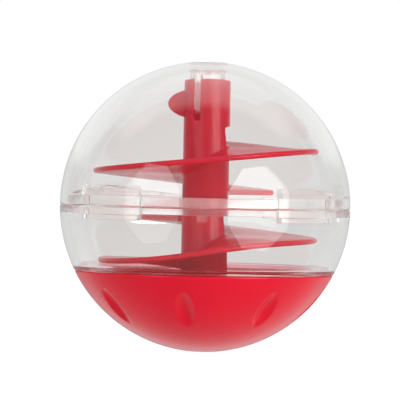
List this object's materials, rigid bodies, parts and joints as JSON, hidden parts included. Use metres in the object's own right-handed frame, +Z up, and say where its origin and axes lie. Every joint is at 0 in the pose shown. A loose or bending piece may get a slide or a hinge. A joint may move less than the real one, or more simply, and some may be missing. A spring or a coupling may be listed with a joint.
{
  "type": "treat ball",
  "caption": "Clear ball on a red finger-dimpled base, with red helical ramps round a central tube that leads dry treats to an outlet at the pole; the dome turns and lifts off.",
  "frame": {"origin": "on the floor under the middle of the ball, at the centre of the flat that it stands on", "axes": "+Z up along the tube to the outlet, the pictured front faces -Y, +X to the right"},
  "size_m": [0.08, 0.08, 0.0795],
  "materials": {
    "red_base": "satin moulded plastic",
    "red_spiral": "glossy moulded plastic",
    "clear_shell": "clear polished plastic"
  },
  "bodies": {
    "base": {"base_cap": "red_base", "lower_spiral": "red_spiral"},
    "lower_shell": {"lower_shell": "clear_shell"},
    "upper_spiral": {"upper_spiral": "red_spiral"},
    "upper_shell": {"upper_shell": "clear_shell"}
  },
  "joints": [
    {"name": "base_turn", "type": "hinge", "parent": "base", "child": "lower_shell", "pos_m": [0, 0, 0.0183], "axis": [0, 0, 1], "range_deg": [0, 30]},
    {"name": "shell_turn", "type": "hinge", "parent": "lower_shell", "child": "upper_spiral", "pos_m": [0, 0, 0.0398], "axis": [0, 0, 1], "range_deg": [-30, 0]},
    {"name": "shell_lift", "type": "slide", "parent": "upper_spiral", "child": "upper_shell", "axis": [0, 0, 1], "range_m": [0, 0.06]}
  ]
}
